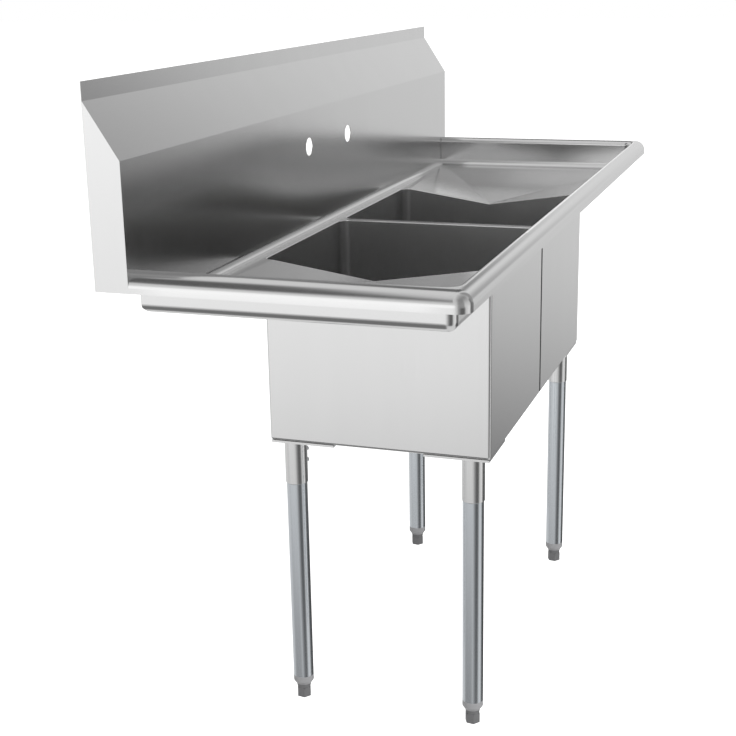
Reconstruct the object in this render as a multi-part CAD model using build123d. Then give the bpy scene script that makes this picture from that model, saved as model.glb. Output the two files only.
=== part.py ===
# Commercial kitchen sink: two bowls between two creased drainboards, a tall splash at the wall
# side, four tubular legs with levelling feet, and a basket strainer in each bowl.
# Units are millimetres, +Z is up, +X runs along the sink and the wall is on the +Y side.
# The origin is on the floor under the middle of the bowls, which is the middle of the whole sink:
# its two halves are alike, and the front rim stands as far from the bowls as the wall does.
import os
from math import atan2, cos, degrees, pi, sin

from build123d import *

SHEET = 1.2

# Bowls
BOWL_LENGTH = 368.2
BOWL_DEPTH = 377.0
BOWL_DEEP = 309.6
BOWL_COVE = 16.0
TUB_EDGE_R = 5.0
DIVIDER = 17.2
TUB_GAP = 1.8
LIP_R = 2.0
REAR_LEDGE = 10.7
FLOOR_FALL = 4.0
FALL_D = 270.0

# Rolled rim round the front and both ends
RIM_TOP_Z = 858.0
RIM_FACE = 28.0
RIM_OUTER_R = 20.0
RIM_INNER_R = 10.0
RIM_CORNER_R = 22.0
RIM_RETURN = 8.0
RIM_WIDTH_END = 35.0
RIM_WIDTH_FRONT = 27.4

# Drainboard pans
BOARD_LENGTH = 410.6
PAN_DEEP = 61.7
PAN_CORNER_R = 15.2
PAN_COVE = 12.0
CREASE_DROP = 26.0
STIFFENER_WIDTH = 60.0
STIFFENER_FLANGE = 16.0
STIFFENER_HEIGHT = 20.0
STIFFENER_LENGTH = 200.0
STIFFENER_OUT = 217.2

# Splash at the wall side
SPLASH_UP = 253.0
SPLASH_DEPTH = 50.8
SPLASH_LIP = 25.5
SPLASH_FACE_UP = 150.5
SPLASH_COVE = 12.0
END_FLANGE = 15.0
TAP_HOLE_D = 31.75
TAP_SPACING = 203.2
TAP_UP = 84.5

# Drain fittings
CUP_D = 86.0
CUP_WALL = 2.0
CUP_THREAD = 20.0
CUP_CONE = 15.0
DISH_D = 116.0
DISH_DEEP = 2.5
WELL_BORDER = 4.0
FLANGE_T = 1.6
FLANGE_BEVEL = 2.0
SPIGOT_D = 48.0
SPIGOT_LENGTH = 16.0
GASKET_T = 3.0
LOCKNUT_RING = 6.0
LOCKNUT_T = 9.0
LOCKNUT_LUGS = 8
LUG_OUT = 5.0
LUG_WIDTH = 9.0

# Strainer basket
BASKET_GAP = 4.0
BASKET_DEEP = 20.0
BASKET_WALL = 1.0
BASKET_RIM = 5.0
BASKET_HOLE_D = 8.0
BASKET_HOLES = 8
BASKET_HOLES_R = 21.0
BASKET_CURVE = 6.0
POST_D = 8.0
POST_DROP = 6.0
KNOB_D = 22.0
KNOB_H = 14.0
KNOB_SINK = 6.0
SEAL_D = 46.0
SEAL_T = 4.0

# Legs and feet
LEG_D = 35.6
LEG_WALL = 1.5
LEG_INSET_X = 27.5
LEG_INSET_Y = 34.7
SOCKET_WALL = 1.25
SOCKET_LENGTH = 76.2
SOCKET_BREAK = 1.0
GUSSET_SIDE = 110.0
GUSSET_T = 4.0
GUSSET_INSET = 2.0
GUSSET_CUT = 55.0
SCREW_D = 7.0
SCREW_OUT = 3.2
SCREW_DROPS = (20.0, 40.0)
FOOT_HEX = 26.5
FOOT_TURN = 22.5
FOOT_NECK_D = 26.0
FOOT_HEX_H = 17.0
FOOT_H = 25.0
STEM_D = 16.0
STEM_LENGTH = 45.0
PLUG_COLLAR = 17.0
PLUG_CHAMFER_R = 4.3
PLUG_CHAMFER_Z = 6.5
PLUG_LENGTH = 34.0

# Clearances
SLIP = 0.15
THREAD_GAP = 0.08
DISH_GAP = 2.0
HOLE_GAP = 2.0

# Places along the sink, across it and in height
BOWL_IN_X = DIVIDER / 2
BOWL_OUT_X = BOWL_IN_X + BOWL_LENGTH
BOWL_MID_X = (BOWL_IN_X + BOWL_OUT_X) / 2
JOIN_X = BOWL_OUT_X + LIP_R
END_X = BOWL_OUT_X + BOARD_LENGTH
PAN_X = END_X - RIM_WIDTH_END
BOWL_Y = BOWL_DEPTH / 2
SPLASH_Y = BOWL_Y + REAR_LEDGE + SPLASH_COVE
WALL_Y = SPLASH_Y + SPLASH_DEPTH
FRONT_Y = -WALL_Y
PAN_Y = FRONT_Y + RIM_WIDTH_FRONT
RIM_LOW_Z = RIM_TOP_Z - RIM_FACE
DECK_Z = RIM_TOP_Z - PAN_DEEP
LIP_Z = DECK_Z - LIP_R
BOWL_BOTTOM_Z = DECK_Z - BOWL_DEEP
BOWL_FLOOR_Z = BOWL_BOTTOM_Z + SHEET
HEIGHT = RIM_TOP_Z + SPLASH_UP
SPLASH_BREAK_Z = RIM_TOP_Z + SPLASH_FACE_UP
REACH = 2 * END_X

# Places in the drain
WELL_Z = BOWL_FLOOR_Z - FLOOR_FALL
FLANGE_Z = WELL_Z - DISH_DEEP
DISH_LOW_Z = FLANGE_Z - SHEET
NUT_TOP_Z = DISH_LOW_Z - GASKET_T
CUP_LOW_Z = FLANGE_Z - CUP_THREAD - CUP_CONE
SPIGOT_LOW_Z = CUP_LOW_Z - SPIGOT_LENGTH
BASKET_TOP_Z = FLANGE_Z + FLANGE_T
BASKET_LOW_Z = BASKET_TOP_Z - BASKET_DEEP
POST_LOW_Z = BASKET_LOW_Z - POST_DROP
KNOB_LOW_Z = BASKET_TOP_Z - KNOB_SINK
WELL_D = DISH_D + 2 * WELL_BORDER
FLANGE_D = DISH_D - 2 * DISH_GAP
DRAIN_HOLE_D = CUP_D + 2 * HOLE_GAP
CUP_BORE = CUP_D - 2 * CUP_WALL
BASKET_D = CUP_BORE - 2 * BASKET_GAP

# Places in the legs
LEG_X = BOWL_OUT_X + SHEET - LEG_INSET_X
LEG_Y = BOWL_Y + SHEET - LEG_INSET_Y
GUSSET_Z = BOWL_BOTTOM_Z - GUSSET_T
SOCKET_BORE = LEG_D + 2 * SLIP
SOCKET_D = SOCKET_BORE + 2 * SOCKET_WALL
PLUG_TOP_Z = FOOT_H + PLUG_COLLAR


def span(x0, x1, y0, y1, z0, z1):
    """A plain box between two corners."""
    return Pos((x0 + x1) / 2, (y0 + y1) / 2, (z0 + z1) / 2) * Box(x1 - x0, y1 - y0, z1 - z0)


def plan_block(x0, x1, y0, y1, z0, z1, front_r=0.0, rear_r=0.0):
    """A box whose upright corners are rounded in plan, at the front and at the rear."""
    sketch = Pos((x0 + x1) / 2, (y0 + y1) / 2) * Rectangle(x1 - x0, y1 - y0)
    corners = sketch.vertices().sort_by(Axis.Y)
    front = corners[:2]
    rear = corners[2:]
    if front_r > 0:
        sketch = fillet(front, front_r)
    if rear_r > 0:
        rear = sketch.vertices().sort_by(Axis.Y)[-2:]
        sketch = fillet(rear, rear_r)
    return Pos(0, 0, z0) * extrude(sketch, z1 - z0)


def level_edges(part, z, skip_y=None):
    """The edges that lie at one height, without a straight one along the plane skip_y."""
    edges = part.edges().filter_by_position(Axis.Z, z - 0.01, z + 0.01)
    if skip_y is None:
        return edges
    return ShapeList([e for e in edges if abs(e.center().Y - skip_y) > 0.01])


def prism(points, x0, x1):
    """A profile of Y, Z points, extruded along X."""
    face = make_face(Polyline([(x0, y, z) for y, z in points], close=True))
    return extrude(face, x1 - x0, dir=(1, 0, 0))


def turned(points, x=0.0, y=0.0, z=0.0):
    """A profile of radius, height points, revolved about an upright axis."""
    face = make_face(Polyline([(r, 0, h) for r, h in points], close=True))
    return Pos(x, y, z) * revolve(face, Axis.Z)


def sheet_solid(tops, thickness):
    """A folded sheet: facets of X, Y, Z corners, with straight edges, given a thickness downwards."""
    faces = []
    border = {}
    for facet in tops:
        faces.append(Face(Wire.make_polygon([Vector(*p) for p in facet])))
        low = [Vector(x, y, z - thickness) for x, y, z in facet]
        faces.append(Face(Wire.make_polygon(low)))
        for a, b in zip(facet, facet[1:] + facet[:1]):
            key = frozenset((a, b))
            border[key] = None if key in border else (a, b)
    for pair in border.values():
        if pair is None:
            continue
        a, b = pair
        corners = [a, b, (b[0], b[1], b[2] - thickness), (a[0], a[1], a[2] - thickness)]
        faces.append(Face(Wire.make_polygon([Vector(*p) for p in corners])))
    return Solid(Shell(faces))


# Rim, pan walls and coves, as one folded ring that the three top sections share
def rim_ring():
    outer = plan_block(-END_X, END_X, FRONT_Y, SPLASH_Y, RIM_LOW_Z, RIM_TOP_Z, RIM_CORNER_R)
    outer = fillet(level_edges(outer, RIM_TOP_Z, SPLASH_Y), RIM_OUTER_R)
    pan_low = DECK_Z - SHEET
    pan = plan_block(-PAN_X, PAN_X, PAN_Y, SPLASH_Y, pan_low, RIM_TOP_Z, PAN_CORNER_R)
    pan = fillet(level_edges(pan, pan_low, SPLASH_Y), PAN_COVE + SHEET)
    inner_x = PAN_X - SHEET
    inner_y = PAN_Y + SHEET
    room = plan_block(-inner_x, inner_x, inner_y, SPLASH_Y, DECK_Z, RIM_TOP_Z, PAN_CORNER_R - SHEET)
    room = fillet(level_edges(room, DECK_Z, SPLASH_Y), PAN_COVE)
    ring = outer + pan - room
    mouth = [e for e in level_edges(ring, RIM_TOP_Z, SPLASH_Y) if mouth_edge(e)]
    ring = fillet(ShapeList(mouth), RIM_INNER_R)
    floor_x = inner_x - PAN_COVE
    floor_y = inner_y + PAN_COVE
    floor_r = PAN_CORNER_R - SHEET - PAN_COVE
    floor = plan_block(-floor_x, floor_x, floor_y, SPLASH_Y, pan_low - SHEET, DECK_Z + SHEET, floor_r)
    ring = ring - rim_hollow() - floor
    for side in (-1, 1):
        ring = ring - cove_mitre(side, 0)
    return ring


def cove_mitre(side, toward_end):
    """Upright wedge on one side of the mitre where the end cove meets the splash cove."""
    far_x = PAN_X - SHEET - PAN_COVE
    start_y = SPLASH_Y - SPLASH_COVE
    inner_x = PAN_X - SHEET
    third = (side * inner_x, start_y) if toward_end else (side * far_x, SPLASH_Y)
    outline = [(side * far_x, start_y), (side * inner_x, SPLASH_Y), third]
    face = make_face(Polyline([(x, y, DECK_Z - 2 * SHEET) for x, y in outline], close=True))
    return extrude(face, PAN_COVE + 2 * SHEET, dir=(0, 0, 1))


def mouth_edge(edge):
    """True for an edge on the mouth of the pan, at the top of its wall."""
    middle = edge.center()
    return abs(middle.X) < PAN_X and middle.Y > PAN_Y


def rim_hollow():
    """The open space under the rolled rim, between its face and the pan wall."""
    inset = SHEET
    top = RIM_TOP_Z - SHEET
    block = plan_block(
        -END_X + inset, END_X - inset, FRONT_Y + inset, SPLASH_Y, RIM_LOW_Z + SHEET, top, RIM_CORNER_R - inset
    )
    block = fillet(level_edges(block, top, SPLASH_Y), RIM_OUTER_R - inset)
    core = plan_block(-PAN_X, PAN_X, PAN_Y, SPLASH_Y, RIM_LOW_Z - RIM_FACE, top, PAN_CORNER_R)
    block = block - core
    inner = [e for e in level_edges(block, top, SPLASH_Y) if abs(e.center().X) <= PAN_X + 0.01]
    inner = [e for e in inner if e.center().Y >= PAN_Y - 0.01]
    block = fillet(ShapeList(inner), RIM_INNER_R - inset)
    inset = SHEET + RIM_RETURN
    mouth = plan_block(
        -END_X + inset, END_X - inset, FRONT_Y + inset, SPLASH_Y, RIM_LOW_Z - SHEET, RIM_LOW_Z + 2 * SHEET,
        RIM_CORNER_R - inset,
    )
    return block + (mouth - core)


def section(x0, x1):
    """A box that keeps the part of the top between two planes across the sink."""
    return span(x0, x1, -REACH, REACH, 0, HEIGHT)


# Drainboards: three facets folded from the bowl's edge to the outer corners
def drainboard(ring, side):
    far_x = PAN_X - SHEET - PAN_COVE
    rear_y = SPLASH_Y - SPLASH_COVE
    front_y = PAN_Y + SHEET + PAN_COVE
    turn_y = BOWL_Y - BOWL_COVE
    far_rear = (side * far_x, rear_y, DECK_Z)
    far_front = (side * far_x, front_y, DECK_Z)
    low = (side * JOIN_X, 0.0, DECK_Z - CREASE_DROP)
    near_rear = (side * JOIN_X, turn_y, DECK_Z)
    near_front = (side * JOIN_X, -turn_y, DECK_Z)
    end_rear = (side * JOIN_X, rear_y, DECK_Z)
    end_front = (side * JOIN_X, front_y, DECK_Z)
    facets = [
        [far_rear, far_front, low],
        [far_rear, low, near_rear],
        [far_front, near_front, low],
        [far_rear, near_rear, end_rear],
        [far_front, end_front, near_front],
    ]
    board = sheet_solid(facets, SHEET)
    for y0, y1 in ((turn_y, 0.0), (0.0, -turn_y)):
        board = board + crease_lip(side, y0, y1)
    reach = (side * JOIN_X, side * REACH)
    board = board + (ring & section(min(reach), max(reach)))
    return board


def crease_lip(side, y0, y1):
    """The rounded lip where a drainboard turns down into the bowl, along one slope of the edge."""
    faces = []
    for y in (y0, y1):
        drop = CREASE_DROP * (1 - abs(y) / (BOWL_Y - BOWL_COVE))
        faces.append(lip_profile(side, y, DECK_Z - drop))
    return loft(faces, ruled=True)


def lip_profile(side, y, z):
    """Quarter ring section of a lip, in the plane across the sink at y."""
    inner_r = LIP_R - SHEET
    mid = sin(pi / 4)
    x = JOIN_X
    top = Line((side * x, y, z - SHEET), (side * x, y, z))
    outer = ThreePointArc(
        (side * x, y, z), (side * (x - LIP_R * mid), y, z - LIP_R * (1 - mid)), (side * (x - LIP_R), y, z - LIP_R)
    )
    low = Line((side * (x - LIP_R), y, z - LIP_R), (side * (x - inner_r), y, z - LIP_R))
    inner = ThreePointArc(
        (side * (x - inner_r), y, z - LIP_R),
        (side * (x - inner_r * mid), y, z - SHEET - inner_r * (1 - mid)),
        (side * x, y, z - SHEET),
    )
    return make_face([top, outer, low, inner])


# Middle section: the ledges round the bowls and the divider between them
def bowl_deck(ring):
    rear_y = SPLASH_Y - SPLASH_COVE
    front_y = PAN_Y + SHEET + PAN_COVE
    low_z = LIP_Z - 2 * LIP_R
    skin = span(-REACH, REACH, front_y, rear_y, low_z, DECK_Z)
    hollow = span(-REACH, REACH, front_y, rear_y, low_z, DECK_Z - SHEET)
    for side in (-1, 1):
        skin = skin - bowl_room(side, 0.0, low_z, DECK_Z)
        hollow = hollow - bowl_room(side, SHEET, low_z, DECK_Z)
    skin = fillet(inside_edges(skin, DECK_Z, 0.0), LIP_R)
    hollow = fillet(inside_edges(hollow, DECK_Z - SHEET, SHEET), LIP_R - SHEET)
    deck = (skin - hollow) & span(-JOIN_X, JOIN_X, front_y, rear_y, LIP_Z, DECK_Z)
    turn_y = BOWL_Y - BOWL_COVE
    for side in (-1, 1):
        xs = sorted((side * (BOWL_OUT_X - SHEET), side * REACH))
        deck = deck - span(xs[0], xs[1], -turn_y, turn_y, low_z, DECK_Z + SHEET)
    return deck + (ring & section(-JOIN_X, JOIN_X))


def bowl_room(side, grow, z0, z1):
    """The plan of one bowl, grown by a wall, as an upright block."""
    xs = sorted((side * (BOWL_IN_X - grow), side * (BOWL_OUT_X + grow)))
    radius = BOWL_COVE + grow
    return plan_block(xs[0], xs[1], -BOWL_Y - grow, BOWL_Y + grow, z0, z1, radius, radius)


def inside_edges(part, z, grow):
    """The edges of the two bowl openings at one height."""
    found = []
    for edge in level_edges(part, z):
        middle = edge.center()
        if abs(middle.X) < BOWL_OUT_X + grow + 0.5 and abs(middle.Y) < BOWL_Y + grow + 0.5:
            found.append(edge)
    return ShapeList(found)


# Bowls: coved inside, tight folded edges outside, with a hollow wall beside the divider
def bowl(side):
    out_x = BOWL_OUT_X + SHEET
    out_y = BOWL_Y + SHEET
    seam_x = TUB_GAP / 2
    xs = sorted((side * seam_x, side * out_x))
    tub = plan_block(xs[0], xs[1], -out_y, out_y, BOWL_BOTTOM_Z, LIP_Z, TUB_EDGE_R, TUB_EDGE_R)
    tub = fillet(level_edges(tub, BOWL_BOTTOM_Z), TUB_EDGE_R)
    room = bowl_room(side, 0.0, BOWL_FLOOR_Z, DECK_Z)
    room = fillet(level_edges(room, BOWL_FLOOR_Z), BOWL_COVE)
    tub = tub - room
    slot = sorted((side * (seam_x + SHEET), side * (BOWL_IN_X - SHEET)))
    slot_y = BOWL_Y - BOWL_COVE
    tub = tub - span(slot[0], slot[1], -slot_y, slot_y, BOWL_FLOOR_Z + BOWL_COVE, DECK_Z)
    notch = prism([(slot_y, LIP_Z), (0, LIP_Z - CREASE_DROP), (-slot_y, LIP_Z), (0, DECK_Z)], 0, 3 * SHEET)
    notch_x = BOWL_OUT_X - SHEET if side > 0 else -BOWL_OUT_X - 2 * SHEET
    tub = tub - Pos(notch_x, 0, 0) * notch
    x = side * BOWL_MID_X
    cut = Pos(x, 0, BOWL_FLOOR_Z) * Cylinder(FALL_D / 2, 4 * SHEET)
    return tub - cut + turned(floor_profile(), x)


def floor_profile():
    """Section of the bowl floor: it falls to a flat well, dished for the drain flange."""
    dish_z = WELL_Z - DISH_DEEP
    return [
        (FALL_D / 2, BOWL_FLOOR_Z),
        (WELL_D / 2, WELL_Z),
        (DISH_D / 2, WELL_Z),
        (DISH_D / 2, dish_z),
        (DRAIN_HOLE_D / 2, dish_z),
        (DRAIN_HOLE_D / 2, dish_z - SHEET),
        (DISH_D / 2 + SHEET, dish_z - SHEET),
        (DISH_D / 2 + SHEET, WELL_Z - SHEET),
        (WELL_D / 2, WELL_Z - SHEET),
        (FALL_D / 2, BOWL_BOTTOM_Z),
    ]


# Splash: face, slope and wall lip folded from one sheet, coved into the deck
def splash():
    inner = SHEET
    cove_z = DECK_Z + SPLASH_COVE
    start_y = SPLASH_Y - SPLASH_COVE
    lip_y = WALL_Y - SHEET
    lip_z = HEIGHT - SPLASH_LIP
    slope = atan2(lip_z - SPLASH_BREAK_Z, lip_y - SPLASH_Y)
    shift = SHEET * (1 - cos(slope)) / sin(slope)
    rise = SHEET * (1 - sin(slope)) / cos(slope)
    mid = sin(pi / 4)
    outer_r = SPLASH_COVE + SHEET
    x0 = -END_X + SHEET
    lines = [
        ThreePointArc(
            (x0, start_y, DECK_Z),
            (x0, start_y + SPLASH_COVE * mid, cove_z - SPLASH_COVE * mid),
            (x0, SPLASH_Y, cove_z),
        ),
        Polyline(
            [
                (x0, SPLASH_Y, cove_z),
                (x0, SPLASH_Y, SPLASH_BREAK_Z),
                (x0, lip_y, lip_z),
                (x0, lip_y, HEIGHT),
                (x0, WALL_Y, HEIGHT),
                (x0, WALL_Y, lip_z - rise),
                (x0, SPLASH_Y + inner, SPLASH_BREAK_Z - shift),
                (x0, SPLASH_Y + inner, cove_z),
            ]
        ),
        ThreePointArc(
            (x0, SPLASH_Y + inner, cove_z),
            (x0, start_y + outer_r * mid, cove_z - outer_r * mid),
            (x0, start_y, DECK_Z - SHEET),
        ),
        Line((x0, start_y, DECK_Z - SHEET), (x0, start_y, DECK_Z)),
    ]
    skin = extrude(make_face(lines), 2 * END_X - 2 * SHEET, dir=(1, 0, 0))
    inner_x = PAN_X - SHEET
    for side in (-1, 1):
        xs = sorted((side * inner_x, side * REACH))
        skin = skin - span(xs[0], xs[1], -REACH, SPLASH_Y, 0, HEIGHT)
        xs = sorted((side * PAN_X, side * REACH))
        skin = skin - span(xs[0], xs[1], -REACH, WALL_Y, 0, RIM_LOW_Z)
        skin = skin - cove_mitre(side, 1)
    for side in (-1, 1):
        skin = skin - tap_hole(side)
    return skin


def tap_hole(side):
    place = Pos(side * TAP_SPACING / 2, SPLASH_Y, RIM_TOP_Z + TAP_UP)
    return place * Rot(90, 0, 0) * Cylinder(TAP_HOLE_D / 2, 4 * SHEET)


def end_cap(side):
    """Flat closing plate at one end of the splash, with a flange that lies on the wall."""
    lip_y = WALL_Y - SHEET
    outline = [
        (SPLASH_Y, RIM_LOW_Z),
        (WALL_Y, RIM_LOW_Z),
        (WALL_Y, HEIGHT),
        (lip_y, HEIGHT),
        (lip_y, HEIGHT - SPLASH_LIP),
        (SPLASH_Y, SPLASH_BREAK_Z),
    ]
    cap = prism(outline, 0, SHEET)
    flange_top = HEIGHT - SPLASH_LIP - 2 * SHEET
    flange_x = -END_FLANGE if side > 0 else SHEET
    flange = span(flange_x, flange_x + END_FLANGE, lip_y, WALL_Y, RIM_LOW_Z, flange_top)
    shift = END_X - SHEET if side > 0 else -END_X
    return Pos(shift, 0, 0) * (cap + flange)


# Hat channel welded under the middle facet of each drainboard
def stiffener(side):
    half = STIFFENER_WIDTH / 2
    wide = half + STIFFENER_FLANGE
    low = -STIFFENER_HEIGHT
    hat = [
        (-wide, 0), (-half, 0), (-half, low + SHEET), (half, low + SHEET), (half, 0), (wide, 0),
        (wide, -SHEET), (half + SHEET, -SHEET), (half + SHEET, low), (-half - SHEET, low), (-half - SHEET, -SHEET),
        (-wide, -SHEET),
    ]
    face = make_face(Polyline([(x, 0, z) for x, z in hat], close=True))
    channel = extrude(face, STIFFENER_LENGTH / 2, both=True)
    run = PAN_X - SHEET - PAN_COVE - JOIN_X
    tilt = degrees(atan2(CREASE_DROP, run))
    depth = CREASE_DROP * (run - STIFFENER_OUT) / run
    return Pos(side * (JOIN_X + STIFFENER_OUT), 0, DECK_Z - depth - SHEET) * Rot(0, -side * tilt, 0) * channel


# Drain fittings under each bowl
def drain_body(side):
    """Flanged cup that clamps the bowl floor, with a threaded outlet and a seat for the basket."""
    cup_r = CUP_D / 2
    spigot_r = SPIGOT_D / 2
    profile = [
        (FLANGE_D / 2, FLANGE_Z),
        (FLANGE_D / 2, FLANGE_Z + FLANGE_T / 2),
        (FLANGE_D / 2 - FLANGE_BEVEL, FLANGE_Z + FLANGE_T),
        (cup_r - CUP_WALL, FLANGE_Z + FLANGE_T),
        (cup_r - CUP_WALL, FLANGE_Z - CUP_THREAD),
        (spigot_r - CUP_WALL, CUP_LOW_Z),
        (spigot_r - CUP_WALL, SPIGOT_LOW_Z),
        (spigot_r, SPIGOT_LOW_Z),
        (spigot_r, CUP_LOW_Z - CUP_WALL),
        (cup_r, FLANGE_Z - CUP_THREAD - CUP_WALL),
        (cup_r, FLANGE_Z),
    ]
    return turned(profile, side * BOWL_MID_X)


def ring_piece(outer_d, bore_d, z_low, height, side):
    """A flat washer shape on the drain axis."""
    outer = Cylinder(outer_d / 2, height)
    return Pos(side * BOWL_MID_X, 0, z_low + height / 2) * (outer - Cylinder(bore_d / 2, height))


def drain_gasket(side):
    return ring_piece(FLANGE_D, CUP_D + 2 * SLIP, DISH_LOW_Z - GASKET_T, GASKET_T, side)


def drain_locknut(side):
    """Threaded ring with lugs for a spanner."""
    ring_r = CUP_D / 2 + LOCKNUT_RING
    nut = Cylinder(ring_r, LOCKNUT_T)
    for turn in range(LOCKNUT_LUGS):
        lug = Pos(ring_r, 0, 0) * Box(2 * LUG_OUT, LUG_WIDTH, LOCKNUT_T)
        nut = nut + Rot(0, 0, turn * 360 / LOCKNUT_LUGS) * lug
    nut = nut - Cylinder(CUP_D / 2 + THREAD_GAP, LOCKNUT_T)
    return Pos(side * BOWL_MID_X, 0, NUT_TOP_Z - LOCKNUT_T / 2) * nut


# Strainer basket, which lifts out of the drain
def strainer_basket(side):
    """Perforated cup with a rolled rim that sits on the drain flange, and a middle post."""
    radius = BASKET_D / 2
    rim_r = CUP_BORE / 2 + BASKET_RIM
    post_r = POST_D / 2
    inner = radius - BASKET_WALL
    floor_z = BASKET_LOW_Z + BASKET_WALL
    profile = [
        (0, POST_LOW_Z),
        (post_r, POST_LOW_Z),
        (post_r, BASKET_LOW_Z),
        (radius - BASKET_CURVE, BASKET_LOW_Z),
        (radius, BASKET_LOW_Z + BASKET_CURVE),
        (radius, BASKET_TOP_Z),
        (rim_r, BASKET_TOP_Z),
        (rim_r, BASKET_TOP_Z + BASKET_WALL),
        (inner, BASKET_TOP_Z + BASKET_WALL),
        (inner, floor_z + BASKET_CURVE - BASKET_WALL / 2),
        (inner - BASKET_CURVE + BASKET_WALL / 2, floor_z),
        (post_r, floor_z),
        (post_r, KNOB_LOW_Z),
        (0, KNOB_LOW_Z),
    ]
    basket = turned(profile, side * BOWL_MID_X)
    for turn in range(BASKET_HOLES):
        angle = 2 * pi * (turn + 0.5) / BASKET_HOLES
        x = side * BOWL_MID_X + BASKET_HOLES_R * cos(angle)
        y = BASKET_HOLES_R * sin(angle)
        basket = basket - Pos(x, y, BASKET_LOW_Z) * Cylinder(BASKET_HOLE_D / 2, 4 * BASKET_WALL)
    return basket


def strainer_knob(side):
    """Pull knob on the post, waisted for the fingers."""
    radius = KNOB_D / 2
    profile = [
        (0, 0),
        (radius * 0.55, 0),
        (radius * 0.5, KNOB_H * 0.4),
        (radius, KNOB_H * 0.62),
        (radius, KNOB_H * 0.85),
        (radius * 0.8, KNOB_H),
        (0, KNOB_H),
    ]
    return turned(profile, side * BOWL_MID_X, 0, KNOB_LOW_Z)


def strainer_seal(side):
    """Rubber stopper disc on the lower end of the post."""
    return Pos(side * BOWL_MID_X, 0, POST_LOW_Z - SEAL_T / 2) * Cylinder(SEAL_D / 2, SEAL_T)


# Leg set at one corner of the tubs
def gusset(sx, sy):
    """Corner plate under the tub, cut across its inner corner, that carries the leg socket."""
    out_x = BOWL_OUT_X + SHEET - GUSSET_INSET
    out_y = BOWL_Y + SHEET - GUSSET_INSET
    in_x = out_x - GUSSET_SIDE
    in_y = out_y - GUSSET_SIDE
    outline = [
        (sx * out_x, sy * out_y),
        (sx * out_x, sy * in_y),
        (sx * (out_x - GUSSET_SIDE + GUSSET_CUT), sy * in_y),
        (sx * in_x, sy * (in_y + GUSSET_CUT)),
        (sx * in_x, sy * out_y),
    ]
    face = make_face(Polyline([(x, y, GUSSET_Z) for x, y in outline], close=True))
    return extrude(face, GUSSET_T, dir=(0, 0, 1))


def socket(sx, sy):
    """Welded tube that the leg slides into, drilled for two set screws."""
    low = GUSSET_Z - SOCKET_LENGTH
    profile = [
        (SOCKET_BORE / 2, low),
        (SOCKET_D / 2 - SOCKET_BREAK, low),
        (SOCKET_D / 2, low + SOCKET_BREAK),
        (SOCKET_D / 2, GUSSET_Z),
        (SOCKET_BORE / 2, GUSSET_Z),
    ]
    tube = turned(profile, sx * LEG_X, sy * LEG_Y)
    for drop in SCREW_DROPS:
        tube = tube - set_screw(sx, sy, drop)
    return tube


def set_screw(sx, sy, drop):
    """Short screw that bears on the leg from the inner side of the corner."""
    start = LEG_D / 2
    length = SOCKET_D / 2 + SCREW_OUT - start
    turn = degrees(atan2(-sy, -sx))
    screw = Pos(start + length / 2, 0, 0) * Rot(0, 90, 0) * Cylinder(SCREW_D / 2, length)
    return Pos(sx * LEG_X, sy * LEG_Y, GUSSET_Z - drop) * Rot(0, 0, turn) * screw


def set_screws(sx, sy):
    screws = []
    for drop in SCREW_DROPS:
        screws.append(set_screw(sx, sy, drop))
    return Compound(screws)


def leg(sx, sy):
    """Plain tube from the foot plug up into its socket."""
    top = GUSSET_Z
    length = top - PLUG_TOP_Z
    tube = Cylinder(LEG_D / 2, length) - Cylinder(LEG_D / 2 - LEG_WALL, length)
    return Pos(sx * LEG_X, sy * LEG_Y, PLUG_TOP_Z + length / 2) * tube


def leg_plug(sx, sy):
    """Threaded plug in the end of the leg, with a collar as wide as the tube."""
    radius = LEG_D / 2
    bore = STEM_D / 2 + THREAD_GAP
    spigot = LEG_D / 2 - LEG_WALL
    profile = [
        (bore, FOOT_H),
        (radius - PLUG_CHAMFER_R, FOOT_H),
        (radius, FOOT_H + PLUG_CHAMFER_Z),
        (radius, PLUG_TOP_Z),
        (spigot, PLUG_TOP_Z),
        (spigot, PLUG_TOP_Z + PLUG_LENGTH),
        (bore, PLUG_TOP_Z + PLUG_LENGTH),
    ]
    return turned(profile, sx * LEG_X, sy * LEG_Y)


def foot(sx, sy):
    """Levelling foot: a hexagonal bullet on a threaded stem."""
    hexagon = Rot(0, 0, FOOT_TURN) * extrude(RegularPolygon(FOOT_HEX / 2, 6), FOOT_HEX_H)
    neck = [
        (0, FOOT_HEX_H),
        (FOOT_HEX / 2 * cos(pi / 6), FOOT_HEX_H),
        (FOOT_NECK_D / 2, FOOT_H),
        (STEM_D / 2, FOOT_H),
        (STEM_D / 2, FOOT_H + STEM_LENGTH),
        (0, FOOT_H + STEM_LENGTH),
    ]
    return Pos(sx * LEG_X, sy * LEG_Y, 0) * (hexagon + turned(neck))


def save(shape, name):
    export_step(shape, f"parts/{name}.step")


os.makedirs("parts", exist_ok=True)
top_ring = rim_ring()
top_splash = splash()
save(top_splash, "backsplash")
save(bowl_deck(top_ring), "bowl_deck")

for hand, side in (("left", -1), ("right", 1)):
    save(end_cap(side), f"end_cap_{hand}")
    save(drainboard(top_ring, side), f"drainboard_{hand}")
    save(stiffener(side), f"stiffener_{hand}")
    save(bowl(side), f"bowl_{hand}")
    save(drain_body(side), f"drain_body_{hand}")
    save(drain_gasket(side), f"drain_gasket_{hand}")
    save(drain_locknut(side), f"drain_locknut_{hand}")
    save(strainer_basket(side), f"strainer_basket_{hand}")
    save(strainer_knob(side), f"strainer_knob_{hand}")
    save(strainer_seal(side), f"strainer_seal_{hand}")

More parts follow.
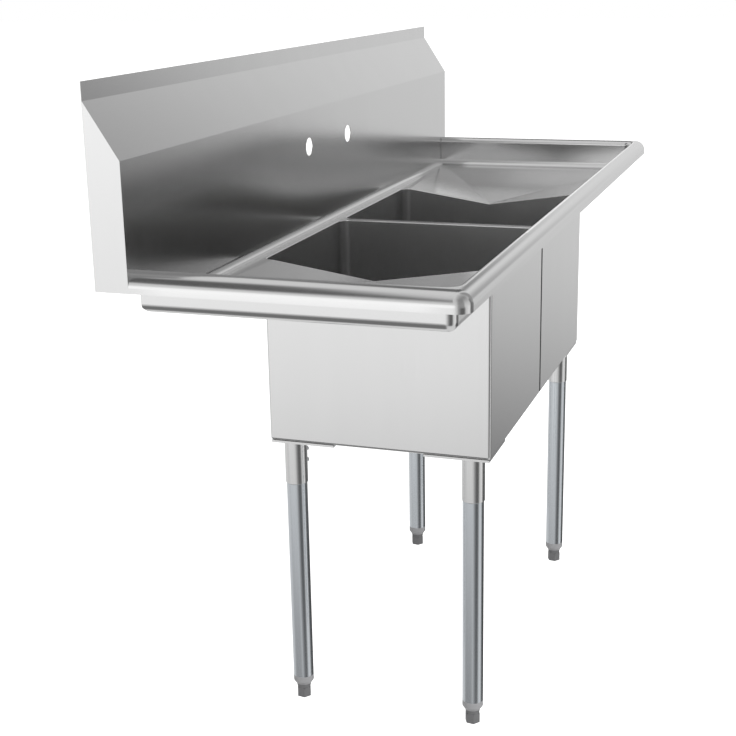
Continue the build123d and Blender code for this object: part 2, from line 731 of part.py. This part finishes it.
for row, sy in (("front", -1), ("rear", 1)):
    for hand, sx in (("left", -1), ("right", 1)):
        corner = f"{row}_{hand}"
        save(gusset(sx, sy), f"gusset_{corner}")
        save(socket(sx, sy), f"leg_socket_{corner}")
        save(set_screws(sx, sy), f"set_screws_{corner}")
        save(leg(sx, sy), f"leg_{corner}")
        save(leg_plug(sx, sy), f"leg_plug_{corner}")
        save(foot(sx, sy), f"foot_{corner}")
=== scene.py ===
import math

import bmesh
import bpy
from mathutils import Matrix, Vector


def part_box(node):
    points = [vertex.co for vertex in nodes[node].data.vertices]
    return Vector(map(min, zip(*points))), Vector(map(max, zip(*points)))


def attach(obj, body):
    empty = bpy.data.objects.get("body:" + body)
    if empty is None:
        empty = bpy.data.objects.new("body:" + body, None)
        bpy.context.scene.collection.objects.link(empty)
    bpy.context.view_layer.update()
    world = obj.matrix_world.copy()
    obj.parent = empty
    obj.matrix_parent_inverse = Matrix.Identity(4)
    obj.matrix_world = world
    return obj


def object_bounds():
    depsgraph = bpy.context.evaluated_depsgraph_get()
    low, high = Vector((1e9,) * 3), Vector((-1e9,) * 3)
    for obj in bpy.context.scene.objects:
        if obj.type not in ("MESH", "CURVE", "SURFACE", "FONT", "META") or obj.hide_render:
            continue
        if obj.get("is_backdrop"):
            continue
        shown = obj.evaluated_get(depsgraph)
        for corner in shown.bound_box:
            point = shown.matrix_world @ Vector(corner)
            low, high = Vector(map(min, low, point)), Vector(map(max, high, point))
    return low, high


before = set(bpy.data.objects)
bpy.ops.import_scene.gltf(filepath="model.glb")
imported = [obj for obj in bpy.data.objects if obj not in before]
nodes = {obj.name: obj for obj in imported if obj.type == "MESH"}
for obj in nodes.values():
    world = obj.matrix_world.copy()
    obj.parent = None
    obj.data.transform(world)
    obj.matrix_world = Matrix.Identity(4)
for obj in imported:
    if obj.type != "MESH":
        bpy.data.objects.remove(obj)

cad_low, cad_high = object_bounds()

# Splash and its end caps
# One sheet of satin stainless, folded to a face, a slope and a wall lip, with a flat plate welded
# into each end. The polishing lines run up the sheet.
SHEET_TONE = (0.70, 0.70, 0.70)
TONE_CHANGE = 0.06
ROUGH_CHANGE = 0.02
LINE_DEPTH = 0.000004
SIDE_BY_SIDE = 1400  # polishing lines in each metre
END_TO_END = 12
LINES_UP = (SIDE_BY_SIDE, SIDE_BY_SIDE, END_TO_END)
HAZE_SCALE = 0.02


def node_group(name, inputs, outputs):
    """An empty shader node group with named sockets, with its entry and exit nodes."""
    group = bpy.data.node_groups.new(name, "ShaderNodeTree")
    for label, kind in inputs.items():
        group.interface.new_socket(label, in_out="INPUT", socket_type=f"NodeSocket{kind}")
    for label, kind in outputs.items():
        group.interface.new_socket(label, in_out="OUTPUT", socket_type=f"NodeSocket{kind}")
    return group, group.nodes.new("NodeGroupInput"), group.nodes.new("NodeGroupOutput")


def noise(tree, vector, scale, detail=2.0):
    """Values from 0 to 1 that change over the surface."""
    node = tree.nodes.new("ShaderNodeTexNoise")
    node.inputs["Scale"].default_value = scale
    node.inputs["Detail"].default_value = detail
    tree.links.new(vector, node.inputs["Vector"])
    return node.outputs["Fac"]


def brushed_grain_group():
    """Polishing lines in steel: the vector comes in stretched, so that the lines run one way."""
    outputs = {"Lines": "Float", "Haze": "Float"}
    group, entry, leave = node_group("brushed_grain", {"Vector": "Vector"}, outputs)
    vector = entry.outputs["Vector"]
    group.links.new(noise(group, vector, 1.0), leave.inputs["Lines"])
    group.links.new(noise(group, vector, HAZE_SCALE, detail=3.0), leave.inputs["Haze"])
    return group


brushed_grain = brushed_grain_group()


def object_place(tree):
    return tree.nodes.new("ShaderNodeTexCoord").outputs["Object"]


def spread(tree, value, low, high):
    """A value from 0 to 1, brought into the range from low to high."""
    node = tree.nodes.new("ShaderNodeMapRange")
    node.inputs["To Min"].default_value = low
    node.inputs["To Max"].default_value = high
    tree.links.new(value, node.inputs["Value"])
    return node.outputs["Result"]


def feed(tree, value, socket):
    """Links an output to a socket, or sets a number or a colour on it."""
    if isinstance(value, bpy.types.NodeSocket):
        tree.links.new(value, socket)
    else:
        socket.default_value = value


def blended(tree, kind, share, first, second):
    """Goes from first to second, both outputs or plain values, as share goes from 0 to 1."""
    mix = tree.nodes.new("ShaderNodeMix")
    mix.data_type = kind
    tree.links.new(share, mix.inputs["Factor"])
    feed(tree, first, mix.inputs["A"])
    feed(tree, second, mix.inputs["B"])
    return mix.outputs["Result"]


def new_material(name):
    material = bpy.data.materials.new(name)
    material.use_nodes = True
    return material, material.node_tree, material.node_tree.nodes["Principled BSDF"].inputs


def steel(name, tone, lines, roughness):
    """Metal with polishing lines: lines is how many cross each metre along X, Y and Z."""
    material, tree, surface = new_material(name)
    surface["Metallic"].default_value = 1.0
    stretch = tree.nodes.new("ShaderNodeMapping")
    stretch.inputs["Scale"].default_value = lines
    tree.links.new(object_place(tree), stretch.inputs["Vector"])
    grain = tree.nodes.new("ShaderNodeGroup")
    grain.node_tree = brushed_grain
    tree.links.new(stretch.outputs["Vector"], grain.inputs["Vector"])
    dark = [c * (1 - TONE_CHANGE) for c in tone]
    colour = blended(tree, "RGBA", grain.outputs["Lines"], (*dark, 1), (*tone, 1))
    tree.links.new(colour, surface["Base Color"])
    rough = spread(tree, grain.outputs["Haze"], roughness - ROUGH_CHANGE, roughness + ROUGH_CHANGE)
    tree.links.new(rough, surface["Roughness"])
    bump = tree.nodes.new("ShaderNodeBump")
    bump.inputs["Distance"].default_value = LINE_DEPTH
    tree.links.new(grain.outputs["Lines"], bump.inputs["Height"])
    tree.links.new(bump.outputs["Normal"], surface["Normal"])
    return material


def finish_nodes(material, slot, *names):
    """Gives CAD nodes their finish."""
    for name in names:
        node = nodes[name]
        node.data.materials.clear()
        node.data.materials.append(material)


splash_steel = steel("splash_steel", SHEET_TONE, LINES_UP, 0.19)
finish_nodes(splash_steel, "stainless", "backsplash", "end_cap_left", "end_cap_right")

# Drainboards, bowl deck and their rolled rim
# Pressed from stainless sheet and welded to the splash, the rim rolled round the front and ends.
# The strip between the two bowls is rougher than the rest, with a darker tone that is painted shade.
DIVIDER_HALF = 0.0071
DIVIDER_INSET = 0.01
LINES_ALONG = (END_TO_END, SIDE_BY_SIDE, SIDE_BY_SIDE)
tub_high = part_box("bowl_right")[1]


def calculate(tree, operation, *values):
    """A math node, fed with outputs or numbers."""
    node = tree.nodes.new("ShaderNodeMath")
    node.operation = operation
    for socket, value in zip(node.inputs, values):
        feed(tree, value, socket)
    return node.outputs[0]


def upright_box_group():
    """1 inside an upright box that is mirrored to both halves of the sink, and 0 outside it."""
    sizes = {"Middle": "Float", "Half Length": "Float", "Half Depth": "Float"}
    group, entry, leave = node_group("upright_box", {"Vector": "Vector", **sizes}, {"Inside": "Float"})
    parts = group.nodes.new("ShaderNodeSeparateXYZ")
    group.links.new(entry.outputs["Vector"], parts.inputs["Vector"])
    mirrored = calculate(group, "ABSOLUTE", parts.outputs["X"])
    along = calculate(group, "ABSOLUTE", calculate(group, "SUBTRACT", mirrored, entry.outputs["Middle"]))
    across = calculate(group, "ABSOLUTE", parts.outputs["Y"])
    within_length = calculate(group, "LESS_THAN", along, entry.outputs["Half Length"])
    within_depth = calculate(group, "LESS_THAN", across, entry.outputs["Half Depth"])
    group.links.new(calculate(group, "MULTIPLY", within_length, within_depth), leave.inputs["Inside"])
    return group


upright_box = upright_box_group()


def refinish_and_shade(material, x_mid, x_half, y_half, tone, rougher):
    """Another tone and roughness inside an upright box, in metres. The darker tones it gives the divider
    strip and the gap between the bowls are painted shade.
    """
    tree = material.node_tree
    surface = tree.nodes["Principled BSDF"].inputs
    box = tree.nodes.new("ShaderNodeGroup")
    box.node_tree = upright_box
    tree.links.new(object_place(tree), box.inputs["Vector"])
    box.inputs["Middle"].default_value = x_mid
    box.inputs["Half Length"].default_value = x_half
    box.inputs["Half Depth"].default_value = y_half
    inside = box.outputs["Inside"]
    colour = surface["Base Color"].links[0].from_socket
    tree.links.new(blended(tree, "RGBA", inside, colour, (*tone, 1)), surface["Base Color"])
    rough = surface["Roughness"].links[0].from_socket
    more = calculate(tree, "MULTIPLY", inside, rougher)
    tree.links.new(calculate(tree, "ADD", rough, more), surface["Roughness"])


board_steel = steel("board_steel", SHEET_TONE, LINES_ALONG, 0.17)
# Painted shade: the divider strip between the bowls gets a darker tone than the sheet.
refinish_and_shade(board_steel, 0.0, DIVIDER_HALF, tub_high[1] - DIVIDER_INSET, (0.32, 0.32, 0.32), 0.2)
finish_nodes(board_steel, "stainless", "drainboard_left", "drainboard_right", "bowl_deck")

# Corner seams
# Each pan's end wall meets the splash in an upright seam, welded and ground nearly flush. A thin
# dark bar stands on each seam as painted shade, for the dark line in the corner.
SIDES = {"left": -1, "right": 1}
SEAM_R = 0.0008
SEAM_LOW = 0.8085
SEAM_HIGH = 0.8575
SEAM_PROUD = 0.0001
SEAM_FROM_END = 0.0362
seam_x = cad_high[0] - SEAM_FROM_END
seam_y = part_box("end_cap_left")[0][1] + SEAM_PROUD


def new_object(name, shape):
    mesh = bpy.data.meshes.new(name)
    shape.to_mesh(mesh)
    shape.free()
    made = bpy.data.objects.new(name, mesh)
    bpy.context.scene.collection.objects.link(made)
    return made


def add_piece(name, shape, material, body):
    """Turns a shape into a piece of the sink, shaded smooth."""
    bmesh.ops.recalc_face_normals(shape, faces=shape.faces)
    for face in shape.faces:
        face.smooth = True
    piece = new_object(name, shape)
    piece.data.materials.append(material)
    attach(piece, body)


def add_bar(shape, sides, radius, length, place):
    """A short bar with flat ends, along the place's own Z."""
    bmesh.ops.create_cone(
        shape, cap_ends=True, segments=sides, radius1=radius, radius2=radius, depth=length, matrix=place
    )


# Painted shade: the bar's dark tone stands for the shade in the corner groove.
seam_shade_metal = steel("seam_shade_metal", (0.22, 0.22, 0.22), (500, 500, 500), 0.4)
shape = bmesh.new()
for side in SIDES.values():
    middle = Matrix.Translation((side * seam_x, seam_y, (SEAM_LOW + SEAM_HIGH) / 2))
    add_bar(shape, sides=8, radius=SEAM_R, length=SEAM_HIGH - SEAM_LOW, place=middle)
add_piece("corner_seam_shades", shape, seam_shade_metal, "sink")

# Stiffeners
# Hat channels folded from stainless sheet and welded under the drainboards, which they keep flat.
# Out of sight, they are left duller than the top.
LINES_ACROSS = (SIDE_BY_SIDE, END_TO_END, SIDE_BY_SIDE)
stiffener_steel = steel("stiffener_steel", SHEET_TONE, LINES_ACROSS, 0.3)
finish_nodes(stiffener_steel, "stainless", "stiffener_left", "stiffener_right")

# Bowls
# Drawn and welded tubs with coved corners, polished in upright lines. The gap between them is
# painted near black as painted shade, and left rough.
SHEET = 0.0012
GAP_SHADE_EDGE = 0.0045
inner_edge = tub_high[0] - SHEET / 2
inside_mid = (inner_edge + DIVIDER_HALF) / 2
inside_half = (inner_edge - DIVIDER_HALF) / 2
bowl_steel = steel("bowl_steel", SHEET_TONE, LINES_UP, 0.2)
refinish_and_shade(bowl_steel, inside_mid, inside_half, tub_high[1] - SHEET / 2, (0.68, 0.68, 0.68), 0.1)
# Painted shade: the gap between the bowls is coloured near black.
refinish_and_shade(bowl_steel, 0.0, GAP_SHADE_EDGE, 2 * tub_high[1], (0.08, 0.08, 0.08), 0.3)
finish_nodes(bowl_steel, "stainless", "bowl_left", "bowl_right")

# Drain fittings
# A plated drain body is clamped through the bowl's floor, on a rubber gasket, by a zinc locknut.
# In it sits a plated strainer basket with a rubber seal below and a black plastic knob to pull.
MOTTLE_SCALE = 400.0
MOTTLE_DARK = 0.8


def moulded_mottle_group():
    """The faint mottle of moulded plastic and rubber."""
    group, entry, leave = node_group("moulded_mottle", {"Vector": "Vector"}, {"Mottle": "Float"})
    group.links.new(noise(group, entry.outputs["Vector"], MOTTLE_SCALE), leave.inputs["Mottle"])
    return group


moulded_mottle = moulded_mottle_group()


def dull(name, tone, roughness):
    """Plastic or rubber with a faint mottle."""
    material, tree, surface = new_material(name)
    surface["Roughness"].default_value = roughness
    mottle = tree.nodes.new("ShaderNodeGroup")
    mottle.node_tree = moulded_mottle
    tree.links.new(object_place(tree), mottle.inputs["Vector"])
    dark = [c * MOTTLE_DARK for c in tone]
    colour = blended(tree, "RGBA", mottle.outputs["Mottle"], (*dark, 1), (*tone, 1))
    tree.links.new(colour, surface["Base Color"])
    return material


fitting_metal = steel("fitting_metal", (0.8, 0.8, 0.8), (200, 200, 200), 0.12)
nut_metal = steel("nut_metal", (0.62, 0.63, 0.64), (300, 300, 300), 0.4)
rubber = dull("rubber", (0.03, 0.03, 0.03), 0.7)
knob_plastic = dull("knob_plastic", (0.03, 0.03, 0.03), 0.35)
for hand in SIDES:
    finish_nodes(fitting_metal, "polished", f"drain_body_{hand}", f"strainer_basket_{hand}")
    finish_nodes(nut_metal, "zinc", f"drain_locknut_{hand}")
    finish_nodes(rubber, "rubber", f"drain_gasket_{hand}", f"strainer_seal_{hand}")
    finish_nodes(knob_plastic, "knob", f"strainer_knob_{hand}")

# Legs
# Galvanised tubes, each held by two set screws in a stainless socket that is welded to a gusset
# under the bowls. A grey plastic plug in the tube's lower end takes the screw of a grey foot.
ROWS = {"front": -1, "rear": 1}
CORNERS = [f"{row}_{hand}" for row in ROWS for hand in SIDES]
leg_metal = steel("leg_metal", (0.60, 0.63, 0.66), (300, 300, 10), 0.22)
socket_metal = steel("socket_metal", SHEET_TONE, (300, 300, 10), 0.2)
plug_plastic = dull("plug_plastic", (0.42, 0.42, 0.43), 0.45)
foot_plastic = dull("foot_plastic", (0.2, 0.2, 0.205), 0.6)
for corner in CORNERS:
    finish_nodes(socket_metal, "stainless", f"gusset_{corner}", f"leg_socket_{corner}")
    finish_nodes(nut_metal, "zinc", f"set_screws_{corner}")
    finish_nodes(leg_metal, "galvanised", f"leg_{corner}")
    finish_nodes(plug_plastic, "foot_grey", f"leg_plug_{corner}")
    finish_nodes(foot_plastic, "foot_grey", f"foot_{corner}")

# Welds between sockets and gussets
# A bead of weld all round the top of each socket fixes it to its gusset. Laid by hand and left as
# it is, it is rippled and a little yellow.
SOCKET_R = 0.0192
BEAD_R = 0.0013
RIPPLES = 40
RIPPLE_HEIGHT = 0.15
STEPS_PER_RIPPLE = 4


def middle_top(name):
    """The middle of a CAD node's box, at its upper end."""
    low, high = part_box(name)
    return Vector(((low[0] + high[0]) / 2, (low[1] + high[1]) / 2, high[2]))


def swept(shape, centre, out_by, radius, sides, turns, steps, drop=0.0):
    """Carries a small upright circle round a standing axis, and down by drop at each step."""
    start = Matrix.Translation(centre + Vector((out_by, 0, 0))) @ Matrix.Rotation(math.pi / 2, 4, "X")
    circle = bmesh.ops.create_circle(shape, segments=sides, radius=radius, matrix=start)["verts"]
    edges = list({edge for corner in circle for edge in corner.link_edges})
    bmesh.ops.spin(
        shape, geom=circle + edges, cent=centre, axis=(0, 0, 1), dvec=(0, 0, -drop),
        angle=2 * math.pi * turns, steps=steps, use_merge=drop == 0,
    )


weld_metal = steel("weld_metal", (0.5, 0.49, 0.48), (500, 500, 500), 0.35)
shape = bmesh.new()
for corner in CORNERS:
    centre = middle_top(f"leg_socket_{corner}")
    swept(shape, centre, SOCKET_R, BEAD_R, sides=8, turns=1, steps=RIPPLES * STEPS_PER_RIPPLE)
    bead = [point for point in shape.verts if (point.co - centre).length < 2 * SOCKET_R]
    for point in bead:
        turn = math.atan2(point.co.y - centre.y, point.co.x - centre.x)
        core = centre + SOCKET_R * Vector((math.cos(turn), math.sin(turn), 0))
        point.co = core + (point.co - core) * (1 + RIPPLE_HEIGHT * math.sin(RIPPLES * turn))
add_piece("socket_welds", shape, weld_metal, "sink")

# Hexagon recesses of the set screws
# Each zinc-plated screw has a hexagon hole for its key in the outer end. A near-black hexagon
# disc on the screw's end paints the shade in that hole.
SCREW_R = 0.0035
RECESS_R = 0.0021
RECESS_DEEP = 0.0004
RECESS_PROUD = 0.0001
# Painted shade: the hexagon is near black, where the inside of the hole would be in shade.
recess_shade = dull("recess_shade", (0.03, 0.03, 0.03), 0.5)
shape = bmesh.new()
for row, sy in ROWS.items():
    for hand, sx in SIDES.items():
        low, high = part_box(f"set_screws_{row}_{hand}")
        out = Vector((-sx, -sy, 0)).normalized()
        beside = Vector((out.y, -out.x, 0))
        turned = Matrix((beside.cross(out), beside, out)).transposed().to_4x4()
        tip_x = high[0] if sx < 0 else low[0]
        tip_y = high[1] if sy < 0 else low[1]
        for z in (low[2] + SCREW_R, high[2] - SCREW_R):
            tip = Vector((tip_x, tip_y, z)) - SCREW_R * out
            place = Matrix.Translation(tip + (RECESS_PROUD - RECESS_DEEP) / 2 * out) @ turned
            add_bar(shape, sides=6, radius=RECESS_R, length=RECESS_DEEP + RECESS_PROUD, place=place)
add_piece("screw_recesses", shape, recess_shade, "sink")

# Threads of the feet
# A thread is rolled on each foot's stem and turns in the leg's plug. It shows when the foot is
# screwed out.
STEM_R = 0.008
PITCH = 0.002
THREAD_TURNS = 20
THREAD_R = 0.00045
THREAD_SIDES = 4
THREAD_SINK = 0.0004
STEPS_PER_TURN = 16
thread_metal = steel("thread_metal", (0.55, 0.56, 0.57), (400, 400, 400), 0.3)
for corner in CORNERS:
    start = middle_top(f"foot_{corner}") - Vector((0, 0, PITCH))
    shape = bmesh.new()
    swept(
        shape, start, STEM_R - THREAD_SINK, THREAD_R, THREAD_SIDES,
        turns=-THREAD_TURNS, steps=THREAD_TURNS * STEPS_PER_TURN, drop=PITCH / STEPS_PER_TURN,
    )
    bmesh.ops.holes_fill(shape, edges=shape.edges, sides=THREAD_SIDES)
    add_piece(f"foot_thread_{corner}", shape, thread_metal, f"foot_{corner}")

# Floor and ground
# A plain pale floor that takes the sink's shadow, under a white ground. Rays that meet the
# background see it white, while it lights the object more softly.
FLOOR_SIZE = 60.0
FLOOR_TONE = 0.8
FLOOR_GLOW = 0.9
FILL_LIGHT = 0.6
WHITE = (1, 1, 1, 1)


def studio_tree(piece):
    """The empty node tree of a new material for a studio piece."""
    material = bpy.data.materials.new(piece.name)
    material.use_nodes = True
    material.node_tree.nodes.clear()
    piece.data.materials.append(material)
    return material.node_tree


def shine(tree, strength, kind="ShaderNodeEmission"):
    """White light of a strength."""
    node = tree.nodes.new(kind)
    node.inputs["Color"].default_value = WHITE
    feed(tree, strength, node.inputs["Strength"])
    return node.outputs[0]


def joined(tree, first, second, share=None):
    """Two shaders added, or the first fading to the second as share goes from 0 to 1."""
    both = tree.nodes.new("ShaderNodeAddShader" if share is None else "ShaderNodeMixShader")
    tree.links.new(first, both.inputs[-2])
    tree.links.new(second, both.inputs[-1])
    if share is not None:
        tree.links.new(share, both.inputs["Fac"])
    return both.outputs[0]


def show(tree, shader, kind="ShaderNodeOutputMaterial"):
    """Makes a shader the surface of the tree's material or world."""
    tree.links.new(shader, tree.nodes.new(kind).inputs["Surface"])


def background_rays(tree):
    """1 for the camera's rays and those that metal or glass sends on, 0 for light on the object."""
    rays = tree.nodes.new("ShaderNodeLightPath").outputs
    seen = calculate(tree, "MAXIMUM", rays["Is Camera Ray"], rays["Is Glossy Ray"])
    return calculate(tree, "MAXIMUM", seen, rays["Is Transmission Ray"])


shape = bmesh.new()
bmesh.ops.create_grid(shape, x_segments=1, y_segments=1, size=FLOOR_SIZE / 2)
floor = new_object("floor", shape)
floor.visible_glossy = False
tree = studio_tree(floor)
paint = tree.nodes.new("ShaderNodeBsdfDiffuse")
paint.inputs["Color"].default_value = (FLOOR_TONE, FLOOR_TONE, FLOOR_TONE, 1)
glow = calculate(tree, "MULTIPLY", background_rays(tree), FLOOR_GLOW)
show(tree, joined(tree, paint.outputs[0], shine(tree, glow)))
floor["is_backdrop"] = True

world = bpy.data.worlds.new("studio")
bpy.context.scene.world = world
world.use_nodes = True
tree = world.node_tree
tree.nodes.clear()
fill = shine(tree, FILL_LIGHT, "ShaderNodeBackground")
white = shine(tree, 1.0, "ShaderNodeBackground")
show(tree, joined(tree, fill, white, background_rays(tree)), "ShaderNodeOutputWorld")

# Studio dome
# A painted dome round the set, which only the metal sees, stands for the studio's soft boxes, the
# dark flags beside them and the ceiling.
DOME_R = 20.0
DOME_LEVEL = 0.84


def only_for_metal(piece):
    """Hides a studio piece from everything but reflections."""
    piece.visible_camera = False
    piece.visible_diffuse = False
    piece.visible_shadow = False
    piece.visible_transmission = False
    piece.visible_volume_scatter = False
    piece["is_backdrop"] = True


def soft_band(tree, value, centre, half, soft):
    """1 within half of the centre, fading to 0 over the width soft."""
    offset = calculate(tree, "ABSOLUTE", calculate(tree, "SUBTRACT", value, centre))
    fade = tree.nodes.new("ShaderNodeMapRange")
    fade.interpolation_type = "SMOOTHSTEP"
    fade.inputs["From Min"].default_value = half - soft / 2
    fade.inputs["From Max"].default_value = half + soft / 2
    fade.inputs["To Min"].default_value = 1.0
    fade.inputs["To Max"].default_value = 0.0
    tree.links.new(offset, fade.inputs["Value"])
    return fade.outputs["Result"]


shape = bmesh.new()
bmesh.ops.create_uvsphere(shape, u_segments=48, v_segments=24, radius=DOME_R)
dome = new_object("studio_dome", shape)
sky = studio_tree(dome)
towards = sky.nodes.new("ShaderNodeVectorMath")
towards.operation = "NORMALIZE"
sky.links.new(object_place(sky), towards.inputs[0])
parts = sky.nodes.new("ShaderNodeSeparateXYZ")
sky.links.new(towards.outputs["Vector"], parts.inputs["Vector"])
along, across, upward = parts.outputs
bearing = calculate(sky, "DEGREES", calculate(sky, "ARCTAN2", across, along))
elevation = calculate(sky, "DEGREES", calculate(sky, "ARCSINE", upward))
tilt = calculate(sky, "DEGREES", calculate(sky, "ARCTAN2", across, upward))
reach = calculate(sky, "DEGREES", calculate(sky, "ARCSINE", along))


def patch(level, brightness, turn, lift, overhead=False):
    """Paints one soft-edged box or flag over the level so far. Turn and lift each hold its middle,
    half width and soft edge, in degrees: the bearing and elevation of an upright one, or the tilt
    from the zenith to the wall and the reach along the sink of an overhead one."""
    middle, half, soft = turn
    if overhead:
        turned_by = calculate(sky, "SUBTRACT", tilt, middle)
    else:
        turned_by = calculate(sky, "WRAP", calculate(sky, "SUBTRACT", bearing, middle), 180.0, -180.0)
    lifted = reach if overhead else elevation
    mask = calculate(
        sky, "MULTIPLY", soft_band(sky, turned_by, 0.0, half, soft), soft_band(sky, lifted, *lift)
    )
    return blended(sky, "FLOAT", mask, level, brightness)


# Camera side: dark room behind the camera and above it, and a strip light in front of the sink
level = patch(DOME_LEVEL, 0.38, (222, 23, 18), (6, 46, 12))
level = patch(level, 0.3, (251, 58, 80), (53, 23, 66))
level = patch(level, 0.13, (233, 18, 20), (-19, 14, 14))
level = patch(level, 1.0, (281, 9, 12), (-16, 14, 12))
# Right of the sink: dark flag that fades towards the sink's end, with a paler one above it
level = patch(level, 0.19, (310, 17, 12), (-2, 30, 12))
level = patch(level, 0.26, (322, 13, 16), (-7, 7, 6))
level = patch(level, 0.26, (324, 13, 8), (12, 7, 6))
level = patch(level, 0.38, (325, 18, 12), (38, 34, 8))
# Behind the right end: dark above, a dark bar towards the wall and a small lamp
level = patch(level, 0.17, (14, 16, 12), (42, 22, 4))
level = patch(level, 0.25, (24, 7, 12), (7, 28, 6))
level = patch(level, 1.3, (13, 4, 4), (8, 4, 5))
# Behind the left end: large box that shines along the floor, brightest in the middle
level = patch(level, 1.14, (153, 30, 17), (-6, 13, 18))
level = patch(level, 1.36, (158, 24, 16), (2, 7, 12))
level = patch(level, 0.22, (145, 45, 40), (-52, 27, 22))
# Overhead: dark gap between two soft boxes, along the sink
level = patch(level, 0.12, (31, 12, 6), (-33, 24, 22), overhead=True)
# Low down at the front: paler wall, then a dark floor cloth
level = patch(level, 0.74, (348, 9, 10), (-10, 10, 10))
level = patch(level, 0.08, (330, 32, 40), (-26, 10, 18))
show(sky, shine(sky, level))
only_for_metal(dome)

# Strip light of the rim
# A thin lamp stands close along the left rim, and shines in the rim's upright face only. It fades
# out at both ends.
STRIP_GAP = 0.16
STRIP_LOW = 0.787
STRIP_HIGH = 0.826
STRIP_Y = 0.05
STRIP_HALF = 0.22
STRIP_SOFT = 0.06
STRIP_GLOW = 1.4
middle = Matrix.Translation((cad_low[0] - STRIP_GAP, STRIP_Y, (STRIP_LOW + STRIP_HIGH) / 2))
upright = Matrix.Rotation(math.pi / 2, 4, "Y")
extent = Matrix.Diagonal((STRIP_HIGH - STRIP_LOW, 2 * STRIP_HALF + STRIP_SOFT, 1, 1))
shape = bmesh.new()
bmesh.ops.create_grid(shape, x_segments=1, y_segments=1, size=0.5, matrix=middle @ upright @ extent)
strip = new_object("rim_strip", shape)
tree = studio_tree(strip)
parts = tree.nodes.new("ShaderNodeSeparateXYZ")
tree.links.new(object_place(tree), parts.inputs["Vector"])
clear = tree.nodes.new("ShaderNodeBsdfTransparent")
lit = soft_band(tree, parts.outputs["Y"], STRIP_Y, STRIP_HALF, STRIP_SOFT)
show(tree, joined(tree, clear.outputs[0], shine(tree, STRIP_GLOW), lit))
only_for_metal(strip)

# Key lamp
# One large soft lamp stands in front of the sink's left end, high above it. The dome takes its
# place in reflections.
KEY_PLACE = Vector((-2.5, -3.0, 3.5))
KEY_AIM = Vector((0, 0, 0.6))
KEY_SIZE = 3.0
KEY_WATTS = 120
key_data = bpy.data.lights.new("key", "AREA")
key_data.shape = "SQUARE"
key_data.size = KEY_SIZE
key_data.energy = KEY_WATTS
key = bpy.data.objects.new("key", key_data)
bpy.context.scene.collection.objects.link(key)
key.location = KEY_PLACE
key.rotation_euler = (KEY_AIM - KEY_PLACE).to_track_quat("-Z", "Y").to_euler()
key.visible_glossy = False

# Camera
# It stands beyond the sink's left end and looks a little down along it. Its place, turn and lens
# were fitted to the photograph's edges.
AZIMUTH = math.radians(-70.939)
ELEVATION = math.radians(16.261)
ROLL = math.radians(-1.089)
CAMERA_PLACE = (-2.3907, -0.6818, 1.2473)
LENS = 67.28
camera_data = bpy.data.cameras.new("camera")
camera_data.sensor_width = 36.0
camera_data.lens = LENS
camera = bpy.data.objects.new("camera", camera_data)
bpy.context.scene.collection.objects.link(camera)
camera.location = CAMERA_PLACE
back = Vector((
    math.sin(AZIMUTH) * math.cos(ELEVATION),
    -math.cos(AZIMUTH) * math.cos(ELEVATION),
    math.sin(ELEVATION),
))
level_right = Vector((0, 0, 1)).cross(back).normalized()
level_up = back.cross(level_right)
right = math.cos(ROLL) * level_right + math.sin(ROLL) * level_up
up = math.cos(ROLL) * level_up - math.sin(ROLL) * level_right
camera.rotation_euler = Matrix((right, up, back)).transposed().to_euler()
bpy.context.scene.camera = camera
bpy.context.scene.view_settings.view_transform = "Standard"

low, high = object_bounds()
